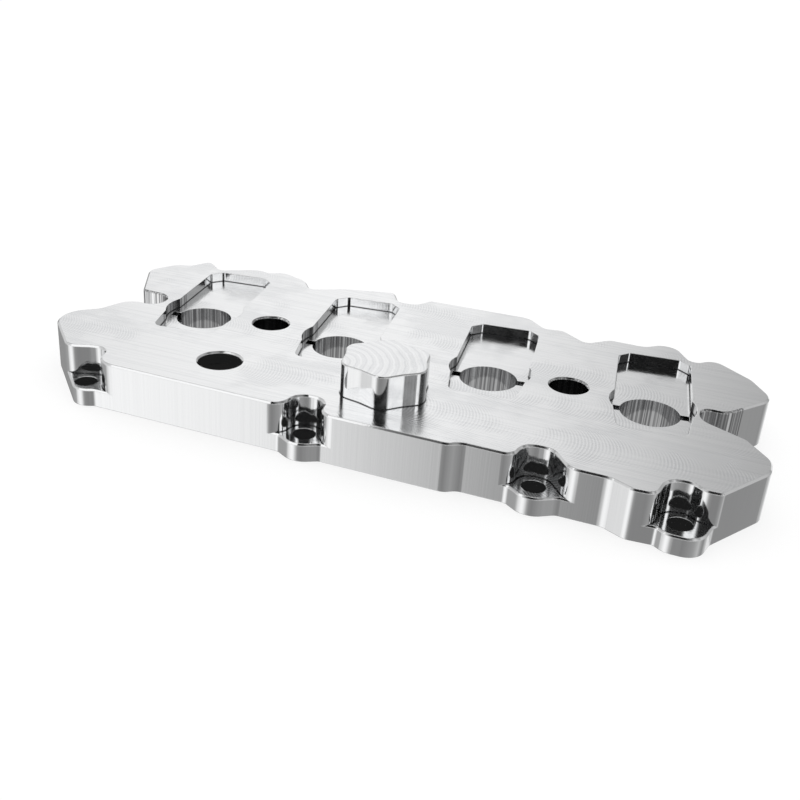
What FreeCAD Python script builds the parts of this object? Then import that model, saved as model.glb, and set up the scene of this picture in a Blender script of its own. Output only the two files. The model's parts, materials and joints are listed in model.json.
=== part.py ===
import FreeCAD, Part
import math
import os

# Cover for the valve gear of a straight-four engine, machined from one block of aluminium.
#
# Millimetres. The outline is drawn from spark plug well 1: +X runs along the row of
# wells, +Y towards the rear edge, +Z up from the gasket face. At the end the part is
# moved so that its origin is the middle of its footprint, on the gasket face.

# ---- driving dimensions ----
WELL_PITCH = 88.0          # spacing of the cylinders
WELL_COUNT = 4
WELL_RADIUS = 15.8
BLOCK_HEIGHT = 26.4        # gasket face to top face
FLANGE_HEIGHT = 9.7        # gasket face to the seats of the edge bolts
ROOF_THICKNESS = 7.0
EDGE_BEVEL = 1.0
EAR_BEVEL = 0.9

FRONT_WALL = -92.3
STEPPED_WALL = -88.3

# scallops that make room for the edge bolts
SCALLOP_HALF_WIDTH = 7.6
SCALLOP_RADIUS = 8.0
MOUTH_HALF_WIDTH = 10.4
MOUTH_RADIUS = 8.5
SCALLOP_DEPTH = 9.4        # from the bolt's axis to the back of the scallop
EAR_RADIUS = 11.4          # rounded ear of the flange round each bolt
EAR_TIP = 13.4             # from the bolt's axis to the corner that the ear rounds off
BOLT_HOLE_RADIUS = 5.9

FRONT_BOLTS = [(-22.8, -85.3), (105.6, -85.6), (223.2, -83.4), (291.6, -85.4)]
REAR_BOLTS = [(-25.2, 77.5), (42.4, 75.2), (102.5, 80.4), (215.8, 76.2), (280.0, 79.4)]

# coil pockets
POCKET_DEPTH = 5.7
POCKET_TURN = 7.0          # degrees, anticlockwise from straight back
POCKET_HALF_WIDTH = 20.2
POCKET_BACK = 64.2
POCKET_BACK_CORNER = 6.3
POCKET_NOSE = 33.2
POCKET_NOSE_HALF_WIDTH = 17.3
POCKET_BOWL_RADIUS = 22.6
POCKET_FLOOR = 5.0         # metal left under the pocket
POCKET_SHIFT = 0.6         # the pocket's axis passes this far right of the well
KEY_SLOT_REACH = 20.2
KEY_SLOT_WIDTH = 5.6
KEY_SLOT_DEPTH = 6.0
TUBE_RADIUS = 22.0         # outside of the tube round each well

# other openings in the top
STUD_HOLES = [(44.0, 0.0), (220.0, 0.0)]
STUD_HOLE_RADIUS = 10.2
STUD_TUBE_RADIUS = 15.0
BREATHER = (44.0, -60.0)
BREATHER_RADIUS = 11.6
HOLE_BEVEL = 0.9

# standing boss on the top face
BOSS_CENTRE = (134.5, -51.5)
BOSS_HEIGHT = 17.8
BOSS_LOBES = 6
BOSS_LOBE_RADIUS = 24.0
BOSS_WAIST_RADIUS = 21.6
BOSS_PHASE = -75.4
BOSS_BEVEL = 0.6

# gasket groove in the lower face
GROOVE_WIDTH = 3.0
GROOVE_DEPTH = 3.0
GROOVE_LAND = 4.4          # flat land between the hollow and the groove

WELLS = [(index * WELL_PITCH, 0.0) for index in range(WELL_COUNT)]
ROOF_UNDERSIDE = BLOCK_HEIGHT - ROOF_THICKNESS


# ---- outline tools ----
def on_line(start, end, y):
    """The point at height y on the straight line through two corners."""
    share = (y - start[1]) / (end[1] - start[1])
    return (start[0] + share * (end[0] - start[0]), y)


def rounded_wire(corners, z):
    """A closed wire through the corners (x, y, radius), each rounded by an arc."""
    edges = []
    count = len(corners)
    last_point = None
    first_point = None
    for index in range(count):
        before = FreeCAD.Vector(corners[index - 1][0], corners[index - 1][1], z)
        corner = FreeCAD.Vector(corners[index][0], corners[index][1], z)
        after = FreeCAD.Vector(corners[(index + 1) % count][0], corners[(index + 1) % count][1], z)
        radius = corners[index][2]
        back = (before - corner).normalize()
        ahead = (after - corner).normalize()
        half_angle = back.getAngle(ahead) / 2
        setback = radius / math.tan(half_angle)
        middle = (back + ahead).normalize()
        start = corner + back * setback
        end = corner + ahead * setback
        crown = corner + middle * (radius / math.sin(half_angle) - radius)
        if last_point is not None and last_point.distanceToPoint(start) > 1e-4:
            edges.append(Part.makeLine(last_point, start))
        edges.append(Part.Arc(start, crown, end).toShape())
        if first_point is None:
            first_point = start
        last_point = end
    edges.append(Part.makeLine(last_point, first_point))
    return Part.Wire(edges)


def plate(corners, bottom, top):
    """A flat-topped solid with a rounded outline."""
    face = Part.Face(rounded_wire(corners, bottom))
    return face.extrude(FreeCAD.Vector(0, 0, top - bottom))


def rod(centre, radius, bottom, top):
    """An upright cylinder."""
    base = FreeCAD.Vector(centre[0], centre[1], bottom)
    return Part.makeCylinder(radius, top - bottom, base)


def fused(shapes):
    """All the shapes joined to the first."""
    return shapes[0].multiFuse(shapes[1:]).removeSplitter()


# ---- outlines ----
LEFT_LOBE = (-71.5, -46.0, 17.0)
LEFT_LOBE_END = (-37.0, -81.5, 8.0)
RIGHT_LOBE = (326.5, -49.0, 12.0)
RIGHT_LOBE_END = (307.2, -79.8, 3.0)
FRONT_SWELL = (269.0, -94.0, 7.0)
FRONT_SWELL_END = (279.8, -93.2, 6.0)
REAR_RIGHT_LOBE = (311.5, 57.5, 14.0)
REAR_SWELL = (263.5, 89.5, 10.0)


def scallop(bolt):
    """The two inner corners of a scallop in the front wall."""
    x, y = bolt
    back = y + SCALLOP_DEPTH
    return [
        (x - SCALLOP_HALF_WIDTH, back, SCALLOP_RADIUS),
        (x + SCALLOP_HALF_WIDTH, back, SCALLOP_RADIUS),
    ]


def front_wall():
    """The scalloped front edge of the block, left to right."""
    first, second, third, fourth = FRONT_BOLTS
    return [
        LEFT_LOBE_END,
        (first[0] - 3.2, first[1] + 8.8, 11.0),
        (first[0] + 7.8, first[1] + 11.7, 7.2),
        (first[0] + 10.8, FRONT_WALL, 12.5),
        (second[0] - MOUTH_HALF_WIDTH, FRONT_WALL, MOUTH_RADIUS),
        *scallop(second),
        (second[0] + MOUTH_HALF_WIDTH, FRONT_WALL, MOUTH_RADIUS),
        (182.0, FRONT_WALL, 8.0),
        (187.2, STEPPED_WALL, 8.0),
        (third[0] - MOUTH_HALF_WIDTH, STEPPED_WALL, 6.5),
        (third[0] - 8.2, third[1] + SCALLOP_DEPTH, SCALLOP_RADIUS),
        (third[0] + 5.0, third[1] + SCALLOP_DEPTH, SCALLOP_RADIUS),
        (239.0, STEPPED_WALL, 10.0),
        (257.5, STEPPED_WALL, 10.0),
        FRONT_SWELL,
        FRONT_SWELL_END,
        (fourth[0] - 9.0, fourth[1] + SCALLOP_DEPTH, 9.0),
        (fourth[0] + 1.8, fourth[1] + SCALLOP_DEPTH + 0.4, SCALLOP_RADIUS),
        (299.6, -80.4, 8.0),
        RIGHT_LOBE_END,
    ]


def right_end():
    """The right end, with the notch between its two lobes, front to rear."""
    return [
        RIGHT_LOBE,
        (326.5, -36.5, 12.0),
        (313.5, -19.0, 8.0),
        (289.5, -7.0, 10.0),
        (289.5, 7.0, 5.0),
        (302.0, 7.0, 8.0),
        (324.0, 36.5, 12.0),
        REAR_RIGHT_LOBE,
    ]


def rear_wall():
    """The wavy rear edge of the block, right to left."""
    return [
        (289.0, 76.5, 8.0),
        (278.0, 64.8, 4.5),
        REAR_SWELL,
        (249.0, 76.0, 8.5),
        (228.5, 76.0, 6.0),
        (216.6, 64.0, 4.5),
        (200.5, 76.5, 6.5),
        (189.5, 74.0, 5.5),
        (177.5, 86.0, 11.0),
        (114.0, 83.0, 3.0),
        (108.0, 72.0, 7.0),
        (97.0, 70.6, 7.0),
        (89.0, 85.0, 3.5),
        (58.5, 75.0, 30.0),
        (40.0, 63.0, 4.5),
        (31.0, 75.5, 12.0),
        (12.5, 83.0, 9.0),
        (4.5, 77.0, 5.0),
        (-4.0, 79.5, 12.0),
        (-25.6, 65.6, 4.5),
        (-39.0, 77.5, 4.0),
    ]


def left_end():
    """The left end, rear to front."""
    return [
        (-46.0, 63.5, 5.0),
        (-54.5, 61.0, 8.5),
        (-64.5, 43.0, 8.5),
        (-48.0, 10.0, 3.5),
        (-27.2, 9.0, 9.0),
        (-27.2, -8.0, 7.5),
        (-45.5, -8.0, 12.0),
        (-52.5, -28.5, 5.5),
        LEFT_LOBE,
    ]


def block_corners():
    return front_wall() + right_end() + rear_wall() + left_end()


# the hollow under the roof, a plain outline inside the wavy one: the wall is at least
# about ten thick behind every scallop and notch, and two bays reach between the bolts
GALLERY = [
    (-37.8, -64.8, 8.0),
    (-1.0, -64.8, 12.0),
    (9.0, -78.0, 8.0),
    (81.0, -78.0, 8.0),
    (91.0, -64.8, 12.0),
    (120.0, -64.8, 12.0),
    (130.0, -78.0, 8.0),
    (176.0, -78.0, 8.0),
    (186.0, -64.8, 12.0),
    (303.2, -64.8, 8.0),
    (315.5, -43.5, 8.0),
    (306.2, -27.6, 8.0),
    (278.5, -13.7, 12.0),
    (278.5, 18.0, 12.0),
    (296.5, 18.0, 8.0),
    (310.8, 37.2, 8.0),
    (301.4, 53.0, 8.0),
    (-46.4, 53.0, 6.0),
    (-52.1, 42.7, 6.0),
    (-40.7, 20.0, 8.0),
    (-16.2, 20.0, 12.0),
    (-16.2, -19.0, 12.0),
    (-37.6, -19.0, 5.0),
    (-43.0, -34.8, 12.0),
    (-55.7, -46.4, 8.0),
]


def ear(bolt, side, foot_before, foot_after):
    """Flange corners that carry a rounded ear out from the wall round a bolt."""
    x, y = bolt
    return [foot_before, (x, y + side * EAR_TIP, EAR_RADIUS), foot_after]


def flange_corners():
    """The outline of the low flange: the block's, with ears in place of scallops."""
    first, second, third, fourth = FRONT_BOLTS
    first_tip = on_line(LEFT_LOBE, LEFT_LOBE_END, -97.0)
    swell_foot = on_line(FRONT_SWELL, FRONT_SWELL_END, -93.05)
    lobe_foot = on_line(RIGHT_LOBE, RIGHT_LOBE_END, -81.8)
    front = [
        (first_tip[0], first_tip[1], 9.5),
        (-13.5, FRONT_WALL, 5.0),
        *ear(second, -1, (second[0] - 11.1, FRONT_WALL, 4.0), (second[0] + 11.1, FRONT_WALL, 4.0)),
        (182.0, FRONT_WALL, 8.0),
        (187.2, STEPPED_WALL, 8.0),
        *ear(third, -1, (third[0] - 11.6, STEPPED_WALL, 5.0), (third[0] + 12.6, STEPPED_WALL, 5.0)),
        (257.5, STEPPED_WALL, 10.0),
        FRONT_SWELL,
        (swell_foot[0], swell_foot[1], 3.0),
        (fourth[0] - 4.4, fourth[1] - 11.5, 9.5),
        (fourth[0] + 10.8, fourth[1] - 11.5, 10.5),
        (lobe_foot[0], lobe_foot[1], 5.0),
    ]
    bolt_1, bolt_2, bolt_3, bolt_4, bolt_5 = REAR_BOLTS
    rear = [
        on_line((289.0, 76.5), REAR_RIGHT_LOBE, 69.8) + (6.0,),
        (bolt_5[0] + 7.4, bolt_5[1] + 12.6, EAR_RADIUS),
        on_line(REAR_SWELL, (249.0, 76.0), 85.8) + (8.0,),
        (249.0, 76.0, 8.5),
        *ear(bolt_4, 1, (233.5, 76.0, 6.0), on_line((200.5, 76.5), (189.5, 74.0), 75.9) + (6.0,)),
        (189.5, 74.0, 5.5),
        (177.5, 86.0, 11.0),
        *ear(
            bolt_3,
            1,
            on_line((177.5, 86.0), (114.0, 83.0), 83.2) + (5.0,),
            on_line((89.0, 85.0), (58.5, 75.0), 84.3) + (5.0,),
        ),
        *ear(
            bolt_2,
            1,
            on_line((89.0, 85.0), (58.5, 75.0), 75.6) + (6.0,),
            on_line((31.0, 75.5), (12.5, 83.0), 76.5) + (6.0,),
        ),
        (12.5, 83.0, 9.0),
        (4.5, 77.0, 5.0),
        (-4.0, 79.5, 12.0),
        (bolt_1[0] - 1.4, bolt_1[1] + 13.8, EAR_RADIUS),
        (-39.0, 77.5, 4.0),
    ]
    return front + right_end() + rear + left_end()


def pocket_corners(centre, grow=0.0):
    """Outline of a coil pocket: square back with cut corners, narrowing to the nose."""
    width = POCKET_HALF_WIDTH + grow
    back = POCKET_BACK + grow
    nose = -POCKET_NOSE - grow
    nose_width = POCKET_NOSE_HALF_WIDTH + grow
    cut = POCKET_BACK_CORNER
    half = [
        (nose_width, nose, 5.0),
        (width, -10.0, 4.0),
        (width, back - cut, 3.0),
        (width - cut, back, 3.0),
    ]
    mirrored = [(-across, along, radius) for across, along, radius in reversed(half)]
    turn = math.radians(POCKET_TURN)
    corners = []
    for across, along, radius in half + mirrored:
        shifted = across + POCKET_SHIFT
        x = centre[0] + shifted * math.cos(turn) - along * math.sin(turn)
        y = centre[1] + shifted * math.sin(turn) + along * math.cos(turn)
        corners.append((x, y, radius))
    return corners


def boss_corners():
    """Six round lobes with waists between them."""
    corners = []
    for index in range(BOSS_LOBES):
        lobe = math.radians(BOSS_PHASE + index * 360 / BOSS_LOBES)
        waist = lobe + math.pi / BOSS_LOBES
        for angle, reach, radius in (
            (lobe, BOSS_LOBE_RADIUS + 1.6, 8.0),
            (waist, BOSS_WAIST_RADIUS - 0.4, 10.0),
        ):
            x = BOSS_CENTRE[0] + reach * math.cos(angle)
            y = BOSS_CENTRE[1] + reach * math.sin(angle)
            corners.append((x, y, radius))
    return corners


# ---- features ----
def bevelled_plate(corners, bottom, top, bevel):
    """A plate with a bevel round its top edge."""
    solid = plate(corners, bottom, top)
    rim = [edge for edge in solid.Edges if edge.BoundBox.ZMin > top - 1e-3]
    return solid.makeChamfer(bevel, rim)


def outer_block():
    block = bevelled_plate(block_corners(), 0.0, BLOCK_HEIGHT, EDGE_BEVEL)
    flange = bevelled_plate(flange_corners(), 0.0, FLANGE_HEIGHT, EAR_BEVEL)
    return fused([block, flange])


def gallery_face(grow=0.0):
    """The gallery's outline on the gasket face, moved outwards by the distance given."""
    face = Part.Face(rounded_wire(GALLERY, 0.0))
    if grow > 0:
        face = face.makeOffset2D(grow)
    return face


def hollow():
    """The space below the roof, clear of the well tubes, stud tubes and pocket floors."""
    space = gallery_face().extrude(FreeCAD.Vector(0, 0, ROOF_UNDERSIDE))
    keep = []
    for well in WELLS:
        keep.append(rod(well, TUBE_RADIUS, 0.0, ROOF_UNDERSIDE))
        keep.append(plate(
            pocket_corners(well, grow=4.0),
            BLOCK_HEIGHT - POCKET_DEPTH - POCKET_FLOOR,
            ROOF_UNDERSIDE,
        ))
    for hole in STUD_HOLES:
        keep.append(rod(hole, STUD_TUBE_RADIUS, 0.0, ROOF_UNDERSIDE))
    return space.cut(fused(keep))


def coil_pocket(well):
    """One coil pocket: the flat recess, the bowl round the well and the key slot."""
    floor = BLOCK_HEIGHT - POCKET_DEPTH
    above = BLOCK_HEIGHT + 1.0
    recess = plate(pocket_corners(well), floor, above)
    bowl = rod((well[0] + POCKET_SHIFT, well[1]), POCKET_BOWL_RADIUS, floor, above)
    slot = Part.makeBox(
        2 * KEY_SLOT_REACH,
        KEY_SLOT_WIDTH,
        KEY_SLOT_DEPTH + 1.0,
        FreeCAD.Vector(-KEY_SLOT_REACH, -KEY_SLOT_WIDTH / 2, floor - KEY_SLOT_DEPTH),
    )
    slot.rotate(FreeCAD.Vector(0, 0, 0), FreeCAD.Vector(0, 0, 1), POCKET_TURN)
    slot.translate(FreeCAD.Vector(well[0], well[1], 0))
    return [recess, bowl, slot]


def through_hole(centre, radius, bevel):
    """A hole right through the part, bevelled at the top face."""
    tools = [rod(centre, radius, -1.0, BLOCK_HEIGHT + 1.0)]
    if bevel > 0:
        mouth = FreeCAD.Vector(centre[0], centre[1], BLOCK_HEIGHT - bevel)
        tools.append(Part.makeCone(radius, radius + 2 * bevel, 2 * bevel, mouth))
    return tools


def gasket_groove():
    """The groove that runs round the gallery in the lower face."""
    band = gallery_face(GROOVE_LAND + GROOVE_WIDTH).cut(gallery_face(GROOVE_LAND))
    return band.extrude(FreeCAD.Vector(0, 0, GROOVE_DEPTH))


def valve_cover():
    solid = outer_block()
    solid = solid.cut(hollow())
    cutters = []
    for well in WELLS:
        cutters += coil_pocket(well)
        cutters += through_hole(well, WELL_RADIUS, 0.0)
    for hole in STUD_HOLES:
        cutters += through_hole(hole, STUD_HOLE_RADIUS, HOLE_BEVEL)
    cutters += through_hole(BREATHER, BREATHER_RADIUS, HOLE_BEVEL)
    for bolt in FRONT_BOLTS + REAR_BOLTS:
        cutters.append(rod(bolt, BOLT_HOLE_RADIUS, -1.0, FLANGE_HEIGHT + 1.0))
    cutters.append(gasket_groove())
    for cutter in cutters:
        solid = solid.cut(cutter)
    boss = bevelled_plate(
        boss_corners(), BLOCK_HEIGHT - 1.0, BLOCK_HEIGHT + BOSS_HEIGHT, BOSS_BEVEL
    )
    solid = fused([solid, boss])
    box = solid.optimalBoundingBox(False, False)
    solid.translate(FreeCAD.Vector(-box.Center.x, -box.Center.y, 0))
    print("footprint centre from well 1: %.4f %.4f" % (box.Center.x, box.Center.y))
    return solid


def main():
    os.makedirs("parts", exist_ok=True)
    cover = valve_cover()
    if len(cover.Solids) != 1 or not cover.isValid():
        raise RuntimeError("the cover must be one valid solid")
    cover = cover.Solids[0]
    print("size %.2f x %.2f x %.2f mm" % (
        cover.BoundBox.XLength, cover.BoundBox.YLength, cover.BoundBox.ZLength))
    print("volume %.1f cm3" % (cover.Volume / 1000.0))
    cover.exportStep("parts/valve_cover.step")


main()
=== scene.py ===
"""Looks of the engine valve cover: bright milled aluminium in a plain white studio."""

import json
import logging
import math
from dataclasses import dataclass
from enum import Enum
from typing import Any

import bmesh
import bpy
from mathutils import Matrix, Vector


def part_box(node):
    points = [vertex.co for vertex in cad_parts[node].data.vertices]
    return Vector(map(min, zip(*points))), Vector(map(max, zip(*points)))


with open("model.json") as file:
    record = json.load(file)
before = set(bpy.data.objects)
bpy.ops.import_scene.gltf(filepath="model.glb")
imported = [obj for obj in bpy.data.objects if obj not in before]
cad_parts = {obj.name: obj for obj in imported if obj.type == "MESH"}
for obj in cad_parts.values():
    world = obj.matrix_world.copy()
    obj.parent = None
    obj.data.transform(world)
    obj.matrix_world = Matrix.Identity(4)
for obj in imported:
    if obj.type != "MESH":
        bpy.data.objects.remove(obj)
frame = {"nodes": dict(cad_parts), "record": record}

LOG = logging.getLogger("valve_cover")
COVER_NODE = "valve_cover"
FIRST_WELL = "plug_well_1"
BLOCK_TOP = 0.0264         # metres from the gasket face to the top face
MM = 0.001
FULL_TURN = 2.0 * math.pi


class RayKind(Enum):
    """What the surround asks of a ray, as Light Path names it."""

    CAMERA = "Is Camera Ray"
    DIFFUSE = "Is Diffuse Ray"
    DEPTH = "Ray Depth"


class Wire:
    """A node's output socket, on which arithmetic adds Math nodes."""

    def __init__(self, graph: "Graph", socket: bpy.types.NodeSocket) -> None:
        """Keeps the socket and the graph that new nodes are added to."""
        self.graph = graph
        self.socket = socket

    def _math(self, operation: str, *values: Any) -> "Wire":
        """Adds a Math node on the values and returns its result."""
        inputs = dict(enumerate(values))
        return self.graph.node("ShaderNodeMath", {"operation": operation}, inputs)["Value"]

    def __add__(self, other: Any) -> "Wire":
        """Sum."""
        return self._math("ADD", self, other)

    def __radd__(self, other: Any) -> "Wire":
        """Sum, reflected."""
        return self._math("ADD", other, self)

    def __sub__(self, other: Any) -> "Wire":
        """Difference."""
        return self._math("SUBTRACT", self, other)

    def __rsub__(self, other: Any) -> "Wire":
        """Difference, reflected."""
        return self._math("SUBTRACT", other, self)

    def __mul__(self, other: Any) -> "Wire":
        """Product."""
        return self._math("MULTIPLY", self, other)

    def __rmul__(self, other: Any) -> "Wire":
        """Product, reflected."""
        return self._math("MULTIPLY", other, self)

    def __truediv__(self, other: Any) -> "Wire":
        """Quotient."""
        return self._math("DIVIDE", self, other)

    def __rtruediv__(self, other: Any) -> "Wire":
        """Quotient, reflected."""
        return self._math("DIVIDE", other, self)

    def __pow__(self, other: Any) -> "Wire":
        """Power."""
        return self._math("POWER", self, other)

    def __neg__(self) -> "Wire":
        """Negative."""
        return self._math("MULTIPLY", self, -1.0)

    def __abs__(self) -> "Wire":
        """Size without sign."""
        return self._math("ABSOLUTE", self)

    def floor(self) -> "Wire":
        """The whole number below."""
        return self._math("FLOOR", self)

    def root(self) -> "Wire":
        """Square root."""
        return self._math("SQRT", self)

    def sine(self) -> "Wire":
        """Sine of an angle in radians."""
        return self._math("SINE", self)

    def arcsine(self) -> "Wire":
        """The angle in radians that has this sine."""
        return self._math("ARCSINE", self)

    def bearing(self, ahead: "Wire") -> "Wire":
        """The angle in radians of (this, ahead), from straight ahead."""
        return self._math("ARCTAN2", self, ahead)

    def at_least(self, low: Any) -> "Wire":
        """The larger of the two."""
        return self._math("MAXIMUM", self, low)

    def ramp(self, start: float, end: float) -> "Wire":
        """A smooth step from 0 at start to 1 at end, which may be below start.

        Args:
            start: Value at which the step is 0.
            end: Value at which the step is 1.

        Returns:
            The step, clamped to 0..1.
        """
        settings = {"interpolation_type": "SMOOTHSTEP"}
        inputs = {"Value": self, "From Min": start, "From Max": end}
        return self.graph.node("ShaderNodeMapRange", settings, inputs)["Result"]

    def toward(self, level: Any, share: "Wire") -> "Wire":
        """This value moved towards a level by a share of 0..1.

        Args:
            level: Value reached where share is 1.
            share: How far to move.

        Returns:
            The mixed value.
        """
        return self + (level - self) * share


class Placed:
    """A node already in the tree, whose outputs are read by name or number."""

    def __init__(self, graph: "Graph", node: bpy.types.Node) -> None:
        """Keeps the node and its graph."""
        self.graph = graph
        self.node = node

    def __getitem__(self, key: str | int) -> Wire:
        """The output socket of that name or number."""
        return Wire(self.graph, self.node.outputs[key])


class Graph:
    """Adds nodes to one node tree."""

    def __init__(self, tree: bpy.types.NodeTree) -> None:
        """Empties the tree.

        Args:
            tree: Node tree of a material or world.
        """
        self.tree = tree
        tree.nodes.clear()

    def node(
        self,
        kind: str,
        settings: dict[str, Any] | None = None,
        inputs: dict[str | int, Any] | None = None,
    ) -> Placed:
        """Adds one node.

        Args:
            kind: Node type, such as ShaderNodeMath.
            settings: Properties, which are set before the sockets.
            inputs: A value or a link for each input socket, by name or number.

        Returns:
            The node, whose outputs can be read.
        """
        node = self.tree.nodes.new(kind)
        for name, value in (settings or {}).items():
            if name == "stops":
                self._set_stops(node.color_ramp, value)
            else:
                setattr(node, name, value)
        for key, value in (inputs or {}).items():
            if isinstance(value, Wire):
                self.tree.links.new(value.socket, node.inputs[key])
            else:
                node.inputs[key].default_value = value
        return Placed(self, node)

    @staticmethod
    def _set_stops(ramp: bpy.types.ColorRamp, stops: list[tuple[float, float]]) -> None:
        """Gives a ramp its grey stops, as (position, level), in rising order."""
        while len(ramp.elements) > 1:
            ramp.elements.remove(ramp.elements[-1])
        for index, (position, level) in enumerate(stops):
            element = ramp.elements[0] if index == 0 else ramp.elements.new(position)
            element.position = position
            element.color = (level, level, level, 1.0)

    def mixed_colour(self, share: Wire, first: Any, second: Any) -> Wire:
        """A colour between two, by share.

        Args:
            share: 0 gives the first colour, 1 the second.
            first: RGBA tuple or wire.
            second: RGBA tuple or wire.

        Returns:
            The mixed colour.
        """
        mix = self.node("ShaderNodeMix", {"data_type": "RGBA"}, {0: share, 6: first, 7: second})
        return mix[2]


@dataclass(frozen=True)
class Ring:
    """A ring of the studio's walls: its brightness by bearing, from a height up.

    Attributes:
        low: Height in degrees at which the ring starts to show.
        full: Height in degrees from which it shows alone.
        stops: Bearing in degrees, 0 at the front and 90 to the right, and brightness.
    """

    low: float
    full: float
    stops: tuple[tuple[float, float], ...]

    def level(self, graph: Graph, turn: Wire) -> Wire:
        """The ring's brightness.

        Args:
            graph: Graph of the world.
            turn: Bearing as a share of a full turn, 0.5 at the front.

        Returns:
            The brightness, 0 to 1.
        """
        stops = [(bearing / 360.0 + 0.5, level) for bearing, level in self.stops]
        ramp = graph.node("ShaderNodeValToRGB", {"stops": stops}, {"Fac": turn})
        return ramp["Color"]


TABLE = Ring(-91.0, -90.0, (
    (-180, 0.50), (-150, 0.30), (-130, 0.28), (-90, 0.33), (-72, 0.35), (-62, 0.66),
    (-50, 0.85), (-38, 0.97), (-28, 0.88), (-20, 0.62), (-12, 0.36), (-4, 0.25), (10, 0.22),
    (60, 0.31), (90, 0.48), (105, 0.30), (118, 0.25), (130, 0.40), (145, 0.60), (160, 0.85),
    (170, 0.90), (180, 0.50),
))
LOW_WALL = Ring(-3.0, 1.0, (
    (-180, 0.50), (-172, 0.76), (-162, 0.93), (-150, 0.90), (-140, 0.75), (-132, 0.30),
    (-126, 0.01), (-98, 0.01), (-84, 0.03), (-77, 0.90), (-52, 0.95), (-44, 0.30), (-34, 0.03),
    (-24, 0.005), (61, 0.005), (69, 0.99), (83, 0.99), (89, 0.03), (118, 0.02), (130, 0.08),
    (140, 0.18), (150, 0.26), (165, 0.35), (175, 0.38), (180, 0.50),
))
OPEN_WALL = Ring(-3.0, 1.0, (
    (-180, 0.50), (-172, 0.76), (-162, 0.93), (-150, 0.90), (-140, 0.80), (-120, 0.62),
    (-90, 0.55), (-60, 0.75), (-30, 0.72), (0, 0.60), (30, 0.66), (60, 0.78), (90, 0.62),
    (120, 0.48), (140, 0.40), (150, 0.33), (165, 0.35), (175, 0.38), (180, 0.50),
))
MIDDLE_WALL = Ring(33.0, 38.0, (
    (-180, 0.65), (-150, 0.80), (-130, 0.40), (-105, 0.20), (-80, 0.50), (-55, 0.75),
    (-35, 0.30), (0, 0.30), (40, 0.35), (75, 0.60), (105, 0.20), (140, 0.40), (180, 0.65),
))
HIGH_WALL = Ring(49.0, 53.0, (
    (-180, 0.60), (-135, 0.50), (-120, 0.15), (-105, 0.12), (-90, 0.28), (-75, 0.42),
    (-60, 0.57), (-45, 0.46), (-30, 0.12), (-15, 0.02), (15, 0.02), (30, 0.08), (45, 0.20),
    (60, 0.25), (90, 0.28), (105, 0.08), (120, 0.15), (135, 0.20), (150, 0.50), (180, 0.60),
))
OVERHEAD = Ring(70.0, 76.0, ((-180, 0.80), (180, 0.80)))


@dataclass
class Surround:
    """What the bright metal mirrors: a room with lit and dark walls, over a pale table.

    A ray that has met the metal once sees the open rings, and one that has met it
    again, as on a wall and then a floor, sees the darker rings. Ray Depth counts one
    more than the meetings here, so the change lies between 2 and 3.

    Attributes:
        open_rings: The room after one meeting.
        rings: The room after two or more.
        again: Ray depths between which the second room takes over.
        even_light: Brightness of the room for scattered light.
    """

    open_rings: tuple[Ring, ...] = (TABLE, OPEN_WALL, MIDDLE_WALL, HIGH_WALL, OVERHEAD)
    rings: tuple[Ring, ...] = (TABLE, LOW_WALL, MIDDLE_WALL, HIGH_WALL, OVERHEAD)
    again: tuple[float, float] = (2.2, 2.8)
    even_light: float = 1.0

    def build(self) -> bpy.types.World:
        """Makes the world that gives the reflections and the even light.

        Returns:
            The world, set on the scene.
        """
        world = bpy.data.worlds.new("studio")
        world.use_nodes = True
        graph = Graph(world.node_tree)
        direction = graph.node("ShaderNodeTexCoord")["Generated"]
        axes = graph.node("ShaderNodeSeparateXYZ", inputs={0: direction})
        turn = axes["X"].bearing(-axes["Y"]) / FULL_TURN + 0.5
        height = axes["Z"].arcsine() * math.degrees(1.0)
        path = graph.node("ShaderNodeLightPath")
        once = self._room(graph, self.open_rings, turn, height)
        twice = self._room(graph, self.rings, turn, height)
        level = graph.mixed_colour(path[RayKind.DEPTH.value].ramp(*self.again), once, twice)
        even = (self.even_light, self.even_light, self.even_light, 1.0)
        level = graph.mixed_colour(path[RayKind.DIFFUSE.value], level, even)
        studio = graph.node("ShaderNodeBackground", inputs={"Color": level})
        white = graph.node("ShaderNodeBackground", inputs={"Color": (1, 1, 1, 1)})
        mix = graph.node("ShaderNodeMixShader", inputs={
            0: path[RayKind.CAMERA.value],
            1: studio["Background"],
            2: white["Background"],
        })
        graph.node("ShaderNodeOutputWorld", inputs={"Surface": mix[0]})
        bpy.context.scene.world = world
        return world

    @staticmethod
    def _room(graph: Graph, rings: tuple[Ring, ...], turn: Wire, height: Wire) -> Wire:
        """The brightness of a room of rings, one above the other.

        Args:
            graph: Graph of the world.
            rings: The rings from the table up.
            turn: Bearing as a share of a full turn, 0.5 at the front.
            height: Height above the horizon, in degrees.

        Returns:
            The brightness.
        """
        level = rings[0].level(graph, turn)
        for ring in rings[1:]:
            share = height.ramp(ring.low, ring.full)
            level = graph.mixed_colour(share, level, ring.level(graph, turn))
        return level


def flat_sheet(
    name: str,
    corners: list[Vector],
    material: bpy.types.Material,
    centre: Vector | None = None,
) -> bpy.types.Object:
    """A flat stage sheet.

    Args:
        name: Name of the object.
        corners: Its corners in order, in metres from its centre.
        material: Its material.
        centre: Where its own origin stands, or none for the origin.

    Returns:
        The object.
    """
    mesh = bpy.data.meshes.new(name)
    mesh.from_pydata([tuple(corner) for corner in corners], [], [tuple(range(len(corners)))])
    mesh.materials.append(material)
    sheet = bpy.data.objects.new(name, mesh)
    sheet.location = centre or Vector((0.0, 0.0, 0.0))
    bpy.context.scene.collection.objects.link(sheet)
    return sheet


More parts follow.
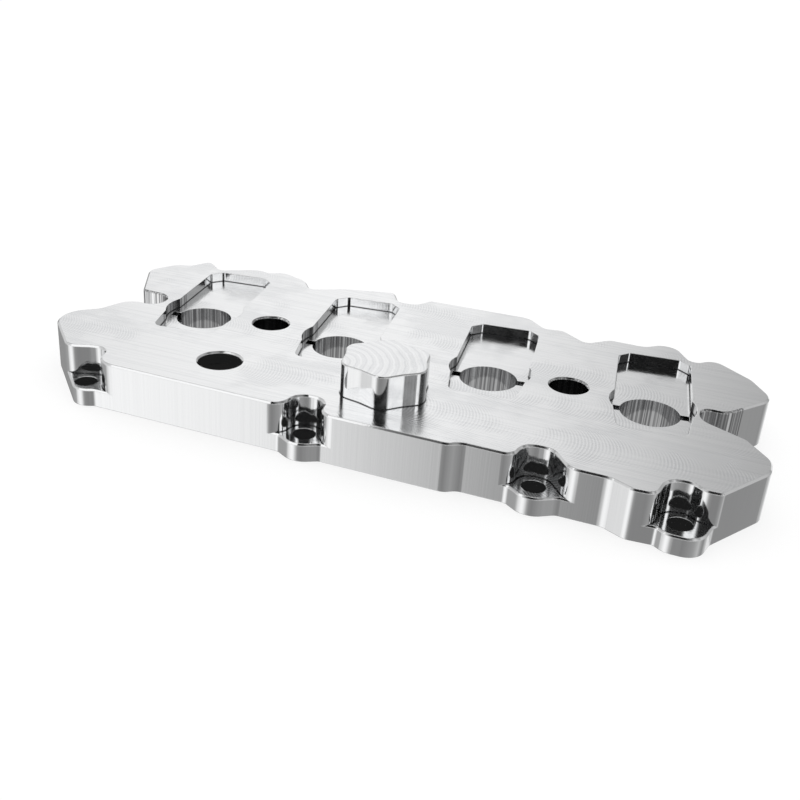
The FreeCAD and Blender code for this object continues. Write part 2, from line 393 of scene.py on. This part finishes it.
def plain_glow(name: str, level: float) -> bpy.types.Material:
    """A material that shines evenly.

    Args:
        name: Name of the material.
        level: Its brightness, 0 for black.

    Returns:
        The material.
    """
    material = bpy.data.materials.new(name)
    material.use_nodes = True
    graph = Graph(material.node_tree)
    glow = graph.node("ShaderNodeEmission", inputs={
        "Color": (level, level, level, 1), "Strength": 1.0})
    graph.node("ShaderNodeOutputMaterial", inputs={"Surface": glow[0]})
    return material


def mirror_only(sheet: bpy.types.Object) -> None:
    """Leaves a sheet visible in mirror reflections alone.

    Args:
        sheet: The stage sheet.
    """
    sheet.visible_camera = False
    sheet.visible_diffuse = False
    sheet.visible_shadow = False
    sheet.visible_transmission = False


@dataclass
class Card:
    """An upright white card in front of the cover, seen only in its bright metal.

    Attributes:
        well: The first plug well, from which the card's sides are measured.
        left: Its left side, along X from the well.
        right: Its right side.
        distance: How far it stands in front of the well.
        low: Height of its lower edge.
        high: Height of its upper edge.
        level: Its brightness.
    """

    well: Vector
    left: float = -0.205
    right: float = 0.066
    distance: float = 0.209
    low: float = 0.100
    high: float = 0.350
    level: float = 1.0

    def build(self) -> bpy.types.Object:
        """Makes the card.

        Returns:
            The card object.
        """
        y = self.well.y - self.distance
        spots = (
            (self.left, self.low), (self.right, self.low),
            (self.right, self.high), (self.left, self.high),
        )
        corners = [Vector((self.well.x + x, y, z)) for x, z in spots]
        card = flat_sheet("front_card", corners, plain_glow("card_white", self.level))
        mirror_only(card)
        return card


@dataclass
class Underside:
    """Painted shade under the cover: glowing sheets on the table, near black below its hollow
    and small bores and grey below the plug wells.

    Attributes:
        box: The cover's lowest and highest corners.
        bores: Centre and radius of each hole through it.
        end_inset: How far the hollow's sheet stays inside each end of the box.
        front_inset: The same at the front.
        rear_inset: The same at the rear.
        margin: How far a bore's disc reaches past the bore.
        rise: Height of the hollow's sheet over the table; the discs lie twice as high.
        dark: Brightness below the hollow and the small bores.
        well_level: Brightness below the plug wells.
        well_radius: Bores wider than this radius are plug wells.
        sides: Number of sides of a disc.
    """

    box: tuple[Vector, Vector]
    bores: list[tuple[Vector, float]]
    end_inset: float = 0.050
    front_inset: float = 0.018
    rear_inset: float = 0.036
    margin: float = 0.0015
    rise: float = 0.0001
    dark: float = 0.012
    well_level: float = 0.40
    well_radius: float = 0.015
    sides: int = 24

    def build(self) -> list[bpy.types.Object]:
        """Makes the sheets.

        Returns:
            The sheet objects.
        """
        # Painted shade: these glowing sheets stand in for the shaded table under the cover.
        dark = plain_glow("shade_dark", self.dark)
        grey = plain_glow("shade_well", self.well_level)
        low, high = self.box
        left, right = low.x + self.end_inset, high.x - self.end_inset
        front, rear = low.y + self.front_inset, high.y - self.rear_inset
        spots = ((left, front), (right, front), (right, rear), (left, rear))
        rectangle = [Vector((x, y, self.rise)) for x, y in spots]
        sheets = [flat_sheet("gallery_shade", rectangle, dark)]
        for number, (centre, radius) in enumerate(self.bores, 1):
            material = grey if radius > self.well_radius else dark
            foot = Vector((centre.x, centre.y, 2 * self.rise))
            disc = self._disc(radius + self.margin)
            sheets.append(flat_sheet(f"bore_shade_{number}", disc, material, foot))
        return sheets

    def _disc(self, reach: float) -> list[Vector]:
        """Corners of a flat disc round its own centre, out to a reach."""
        turns = [step * FULL_TURN / self.sides for step in range(self.sides)]
        return [Vector((reach * math.cos(t), reach * math.sin(t), 0.0)) for t in turns]


@dataclass
class Table:
    """The plain white floor under the cover.

    Attributes:
        reach: Half its width.
        drop: How far it lies below the gasket face.
        glow: Brightness that it has of its own.
        paint: Its colour, which takes the cover's shadow.
    """

    reach: float = 6.0
    drop: float = 0.0002
    glow: float = 0.72
    paint: float = 0.32

    def build(self) -> bpy.types.Object:
        """Makes the floor, which glossy rays don't see.

        Returns:
            The floor object.
        """
        mesh = bpy.data.meshes.new("floor")
        shape = bmesh.new()
        bmesh.ops.create_grid(shape, x_segments=1, y_segments=1, size=self.reach)
        shape.to_mesh(mesh)
        shape.free()
        floor = bpy.data.objects.new("floor", mesh)
        floor.location.z = -self.drop
        bpy.context.scene.collection.objects.link(floor)
        mesh.materials.append(self._material())
        floor.visible_glossy = False
        return floor

    def _material(self) -> bpy.types.Material:
        """A white that keeps a soft contact shadow."""
        material = bpy.data.materials.new("floor_white")
        material.use_nodes = True
        graph = Graph(material.node_tree)
        matt = graph.node("ShaderNodeBsdfDiffuse", inputs={
            "Color": (self.paint, self.paint, self.paint, 1)})
        glow = graph.node("ShaderNodeEmission", inputs={
            "Color": (1, 1, 1, 1), "Strength": self.glow})
        both = graph.node("ShaderNodeAddShader", inputs={0: matt[0], 1: glow[0]})
        graph.node("ShaderNodeOutputMaterial", inputs={"Surface": both[0]})
        return material


@dataclass(frozen=True)
class MilledAluminium:
    """Bright aluminium with a face-milled top and near mirror walls from an end mill, with
    painted shade in its inner corners and on the walls in the row of wells.

    Attributes:
        colour: The bare metal.
        mark_colour: The metal along a cutter's mark.
        painted_well_shade: Painted shade: dark streaks on the walls in the row of wells.
        painted_corner_shade: Painted shade: the near black laid into an inner corner.
        well_row: Position across the cover of the row of wells.
        bore_band: Distances from that row at which the painted shade streaks start and are
            full.
        top_roughness: Roughness of the top, before its marks.
        wall_roughness: Roughness of the walls, before their streaks.
        feed_spacing: Width of one row of the face mill.
        arc_radius: Radius of its arcs.
        arc_pitch: Distance from one arc to the next.
        cut_depth: Depth of the marks.
        edge_radius: How far the edges look rounded.
        corner_reach: How far from a corner its painted shade begins.
        boss_height: Height over which the top face is the boss's.
        boss_pass: Centre of the mill's pass over the boss.
        boss_pitch: Distance from one broad arc on the boss to the next.
        cloud_scale: Scale of the slow noise that breaks up the marks.
        feed_stretch: Noise scale of the lines along the top, by axis.
        wall_stretch: Noise scale of the upright streaks, by axis.
    """

    colour: tuple[float, float, float, float] = (0.955, 0.96, 0.965, 1.0)
    mark_colour: tuple[float, float, float, float] = (0.79, 0.80, 0.815, 1.0)
    painted_well_shade: tuple[float, float, float, float] = (0.16, 0.16, 0.165, 1.0)
    painted_corner_shade: tuple[float, float, float, float] = (0.02, 0.02, 0.022, 1.0)
    well_row: float = 0.0
    bore_band: tuple[float, float] = (0.0185, 0.0168)
    top_roughness: float = 0.13
    wall_roughness: float = 0.06
    feed_spacing: float = 0.042
    arc_radius: float = 0.028
    arc_pitch: float = 0.0017
    cut_depth: float = 0.00003
    edge_radius: float = 0.0005
    corner_reach: float = 0.0013
    boss_height: float = 0.035
    boss_pass: tuple[float, float] = (-0.020, -0.066)
    boss_pitch: float = 0.0042
    cloud_scale: float = 26.0
    feed_stretch: tuple[float, float, float] = (14.0, 1100.0, 14.0)
    wall_stretch: tuple[float, float, float] = (1100.0, 1100.0, 8.0)

    def build(self) -> bpy.types.Material:
        """Makes the material.

        Returns:
            The material for the cover's node.
        """
        material = bpy.data.materials.new("milled_aluminium")
        material.use_nodes = True
        graph = Graph(material.node_tree)
        place = graph.node("ShaderNodeTexCoord")["Object"]
        facing = graph.node("ShaderNodeNewGeometry")["Normal"]
        tilt = graph.node("ShaderNodeSeparateXYZ", inputs={0: facing})["Z"]
        flat = abs(tilt).ramp(0.9, 0.97)
        axes = graph.node("ShaderNodeSeparateXYZ", inputs={0: place})
        x, y, z = axes["X"], axes["Y"], axes["Z"]

        swirl = self._swirl(x, y)
        cloud = graph.node("ShaderNodeTexNoise", inputs={
            "Vector": place, "Scale": self.cloud_scale, "Detail": 4.0, "Roughness": 0.6})["Fac"]
        presence = cloud.ramp(0.44, 0.62)
        feed = self._streaks(graph, place, self.feed_stretch)
        streak = self._streaks(graph, place, self.wall_stretch)

        rounded = graph.node("ShaderNodeBevel", {"samples": 6}, {
            "Radius": self.edge_radius})["Normal"]
        top_height = swirl * presence * 0.9 + swirl * 0.2 + feed * 0.8
        height = (streak * 0.7).toward(top_height, flat)
        normal = graph.node("ShaderNodeBump", inputs={
            "Strength": 0.5, "Distance": self.cut_depth,
            "Height": height, "Normal": rounded})["Normal"]

        roughness = (self.wall_roughness + streak * 0.05).toward(
            self.top_roughness + presence * 0.10 + swirl * presence * 0.05, flat)

        on_boss = z.ramp(self.boss_height, self.boss_height + MM) * flat
        cut_mark = feed.ramp(0.35, 0.75) * 0.5 + swirl * presence * 0.6
        cut_mark = cut_mark.toward(self._boss_arcs(x, y, cloud) * 0.9, on_boss)
        shade = (streak.ramp(0.3, 0.8) * 0.15).toward(cut_mark, flat)
        colour = graph.mixed_colour(shade, self.colour, self.mark_colour)

        # Painted shade: dark streaks along the cutter's wall streaks stand in for the dark down
        # the bores; they fall on every wall in this band.
        in_row = abs(y - self.well_row).ramp(*self.bore_band) * (1.0 - flat)
        well_shade_share = streak.ramp(0.36, 0.60) * in_row * 0.75
        colour = graph.mixed_colour(well_shade_share, colour, self.painted_well_shade)

        # Painted shade: ambient occlusion lays near black into inner corners, where less light
        # reaches.
        openness = graph.node("ShaderNodeAmbientOcclusion", {
            "samples": 8, "only_local": True}, {"Distance": self.corner_reach})["AO"]
        colour = graph.mixed_colour(openness.ramp(0.80, 0.62), colour, self.painted_corner_shade)

        shader = graph.node("ShaderNodeBsdfPrincipled", inputs={
            "Base Color": colour,
            "Metallic": 1.0,
            "Roughness": roughness,
            "Normal": normal,
        })
        graph.node("ShaderNodeOutputMaterial", inputs={"Surface": shader["BSDF"]})
        return material

    def _boss_arcs(self, x: Wire, y: Wire, cloud: Wire) -> Wire:
        """Broad arcs of the mill's one pass over the top of the boss.

        Args:
            x: Position along the cover, in metres.
            y: Position across it.
            cloud: A slow noise that makes the arcs uneven.

        Returns:
            A wave from 0 to 1.
        """
        east = x - self.boss_pass[0]
        north = y - self.boss_pass[1]
        reach = (east * east + north * north).root() + cloud * 0.009
        broad = (reach * (FULL_TURN / self.boss_pitch)).sine() * 0.5 + 0.5
        fine = (reach * (FULL_TURN / self.arc_pitch)).sine() * 0.5 + 0.5
        return broad * 0.65 + fine * 0.35

    @staticmethod
    def _streaks(graph: Graph, place: Wire, stretch: tuple[float, float, float]) -> Wire:
        """Fine straight cutter lines.

        Args:
            graph: Graph of the material.
            place: Position on the cover, in metres.
            stretch: Scale of the noise along each axis.

        Returns:
            A noise from 0 to 1.
        """
        scaled = graph.node("ShaderNodeMapping", inputs={"Vector": place, "Scale": stretch})[0]
        return graph.node("ShaderNodeTexNoise", inputs={
            "Vector": scaled, "Scale": 1.0, "Detail": 2.0})["Fac"]

    def _swirl(self, x: Wire, y: Wire) -> Wire:
        """Arcs that a face mill leaves in rows along the cover.

        Args:
            x: Position along the cover, in metres.
            y: Position across it.

        Returns:
            A wave from 0 to 1.
        """
        row = (y / self.feed_spacing).floor()
        across = y - (row + 0.5) * self.feed_spacing
        bow = (self.arc_radius ** 2 - across * across).at_least(1e-8).root()
        return ((x - bow) * (FULL_TURN / self.arc_pitch)).sine() * 0.5 + 0.5


@dataclass
class CoverLook:
    """The cover itself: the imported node, dressed."""

    node: bpy.types.Object
    finish: MilledAluminium

    def dress(self) -> bpy.types.Object:
        """Gives the node its finish.

        Returns:
            The node.
        """
        material = self.finish.build()
        for slot in self.node.material_slots:
            slot.material = material
        return self.node


@dataclass
class Viewpoint:
    """The camera, placed from plug well 1 and the block's top face.

    Attributes:
        well: The first plug well.
        top: Height of the block's top face.
        offset: From the well's axis at that height to the camera, in metres.
        turn: Bearing of the view from +Y towards +X, in degrees.
        down: How far it looks down, in degrees.
        roll: Its roll about the view, in degrees.
        lens: Focal length in millimetres.
        sensor: Width of the sensor in millimetres.
    """

    well: Vector
    top: float
    offset: tuple[float, float, float] = (0.29580, -0.50820, 0.23133)
    turn: float = -18.454
    down: float = 26.046
    roll: float = 4.306
    lens: float = 47.06
    sensor: float = 36.0

    def build(self) -> bpy.types.Object:
        """Makes the camera and sets it on the scene.

        Returns:
            The camera object.
        """
        turn, down, roll = (math.radians(a) for a in (self.turn, self.down, self.roll))
        ahead = Vector((
            math.sin(turn) * math.cos(down),
            math.cos(turn) * math.cos(down),
            -math.sin(down),
        ))
        level = Vector((math.cos(turn), -math.sin(turn), 0.0))
        upright = level.cross(ahead)
        right = math.cos(roll) * level + math.sin(roll) * upright
        up = -math.sin(roll) * level + math.cos(roll) * upright
        place = Vector((self.well.x, self.well.y, self.top)) + Vector(self.offset)
        data = bpy.data.cameras.new("camera")
        data.lens = self.lens
        data.sensor_width = self.sensor
        data.clip_start = 0.01
        data.clip_end = 50.0
        camera = bpy.data.objects.new("camera", data)
        axes = Matrix((right, up, -ahead)).transposed().to_4x4()
        camera.matrix_world = Matrix.Translation(place) @ axes
        bpy.context.scene.collection.objects.link(camera)
        bpy.context.scene.camera = camera
        return camera


def mount_place(name: str) -> Vector:
    """Where the record puts a mount.

    Args:
        name: The mount's name.

    Returns:
        Its position in metres.
    """
    for mount in frame["record"]["mounts"]:
        if mount["name"] == name:
            return Vector(mount["pos_m"])
    raise KeyError(name)


def main() -> None:
    """Builds the studio and dresses the cover."""
    logging.basicConfig(level=logging.INFO, format="%(name)s: %(message)s")
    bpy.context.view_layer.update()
    bpy.context.scene.view_settings.view_transform = "Standard"

    well = mount_place(FIRST_WELL)
    cover = CoverLook(frame["nodes"][COVER_NODE], MilledAluminium(well_row=well.y)).dress()
    LOG.info("dressed %s", cover.name)
    Table().build()
    LOG.info("laid the floor")
    Surround().build()
    LOG.info("set the surround")
    bores = [
        (Vector(mount["pos_m"]), mount["dims"]["r_mm"] * MM)
        for mount in frame["record"]["mounts"] if mount["kind"] == "bore"
    ]
    Underside(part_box(COVER_NODE), bores).build()
    LOG.info("laid the shades under the cover")
    Card(well).build()
    LOG.info("stood the front card")
    Viewpoint(well, BLOCK_TOP).build()
    LOG.info("placed the camera")


if __name__ == "__main__":
    main()
